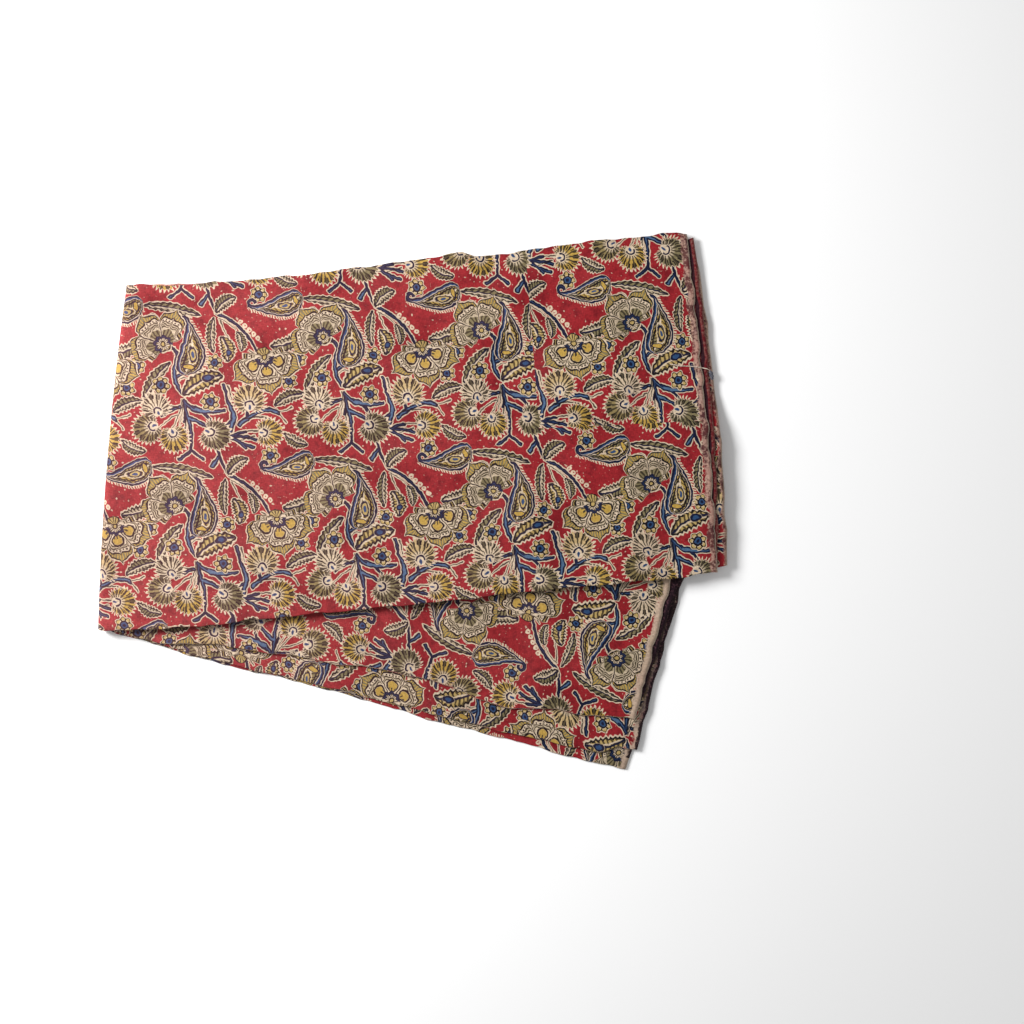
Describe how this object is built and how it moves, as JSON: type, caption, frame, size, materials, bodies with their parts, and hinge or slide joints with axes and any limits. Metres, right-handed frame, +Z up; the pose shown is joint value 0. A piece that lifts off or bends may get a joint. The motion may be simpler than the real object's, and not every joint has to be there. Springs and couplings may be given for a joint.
{
  "type": "folded kalamkari panel",
  "caption": "Length of block-printed and dyed cotton with a floral and paisley repeat on red, folded back and forth and then across, lying flat with its under half fanned out",
  "frame": {"origin": "middle of the bounding box, on the surface that the cloth lies on", "axes": "+Z up, X across the panel from the last fold at -X to the selvedges at +X, Y from the front folds to the back folds"},
  "size_m": [0.5956, 0.51, 0.017],
  "materials": {
    "printed_cotton": "matte printed and dyed cotton"
  },
  "bodies": {
    "root": {"folded_cloth": "printed_cotton"}
  },
  "joints": []
}
